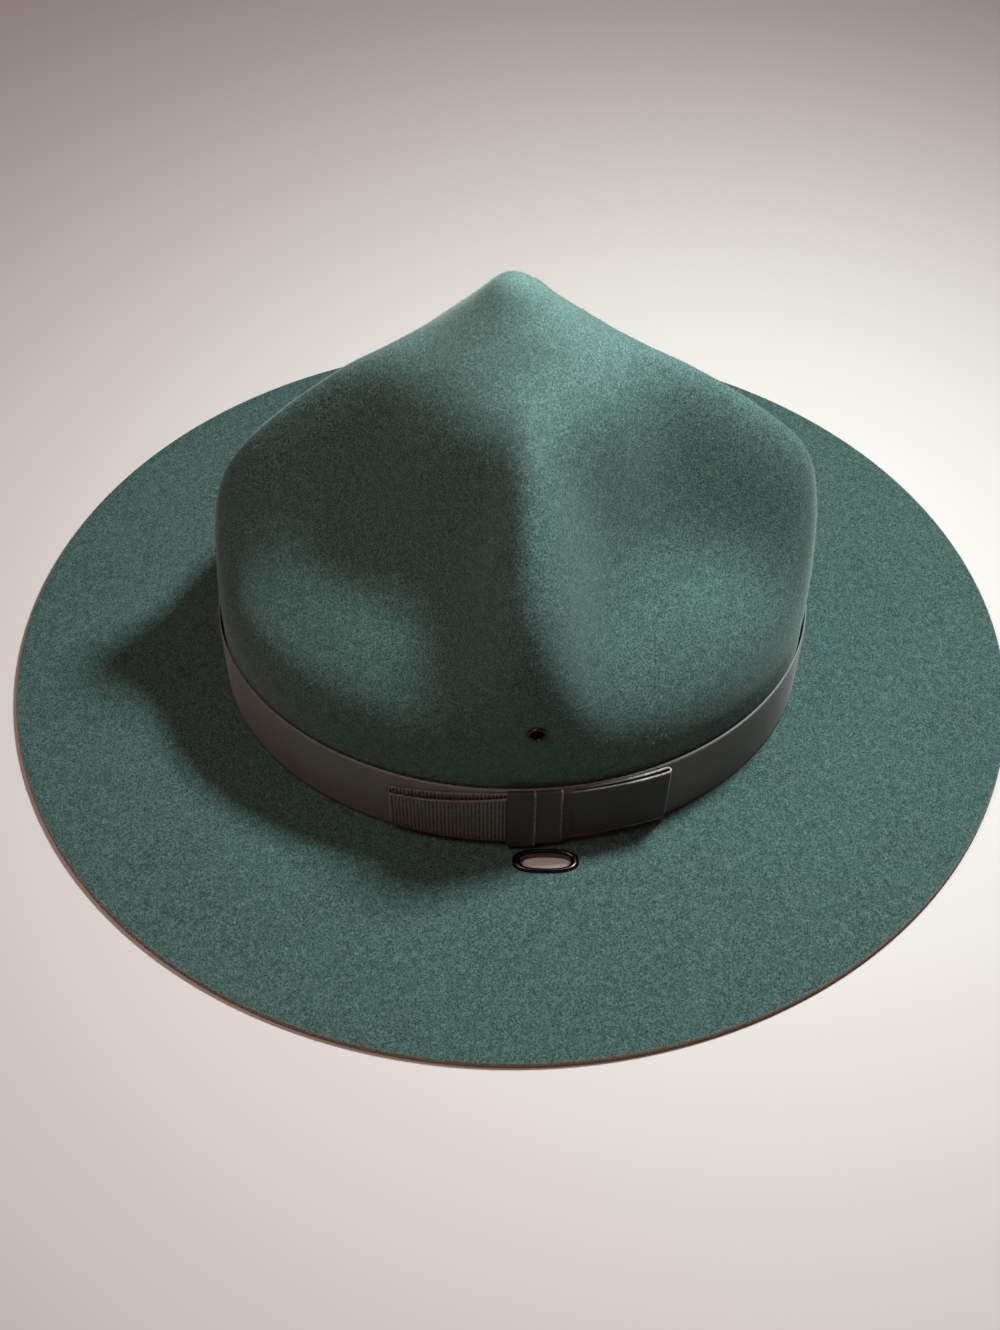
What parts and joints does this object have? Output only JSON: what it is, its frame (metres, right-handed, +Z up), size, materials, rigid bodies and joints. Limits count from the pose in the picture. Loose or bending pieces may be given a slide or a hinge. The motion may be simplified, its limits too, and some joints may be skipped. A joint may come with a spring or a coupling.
{
  "type": "campaign hat",
  "caption": "Wide flat-brimmed felt campaign hat with a dented crown rising to a central peak, a ribbon band with a flat side bow, vent eyelets and metal-lined strap slots.",
  "frame": {"origin": "on the surface that the hat rests on, at the middle of the brim's outline", "axes": "+Z up through the peak, -Y towards the wearer's face, +X to the wearer's left, where the bow is"},
  "size_m": [0.3284, 0.366, 0.1746],
  "materials": {
    "felt": "fur felt, matt with a short soft nap",
    "ribbon": "black grosgrain with fine ribs",
    "dark_metal": "blackened, worn bright on its edges"
  },
  "bodies": {
    "root": {"felt_body": "felt", "hat_band": "ribbon", "bow_front": "ribbon", "bow_rear": "ribbon", "bow_knot": "ribbon", "vent_eyelet_left": "dark_metal", "vent_eyelet_right": "dark_metal", "strap_slot_left": "dark_metal", "strap_slot_right": "dark_metal"}
  },
  "joints": []
}
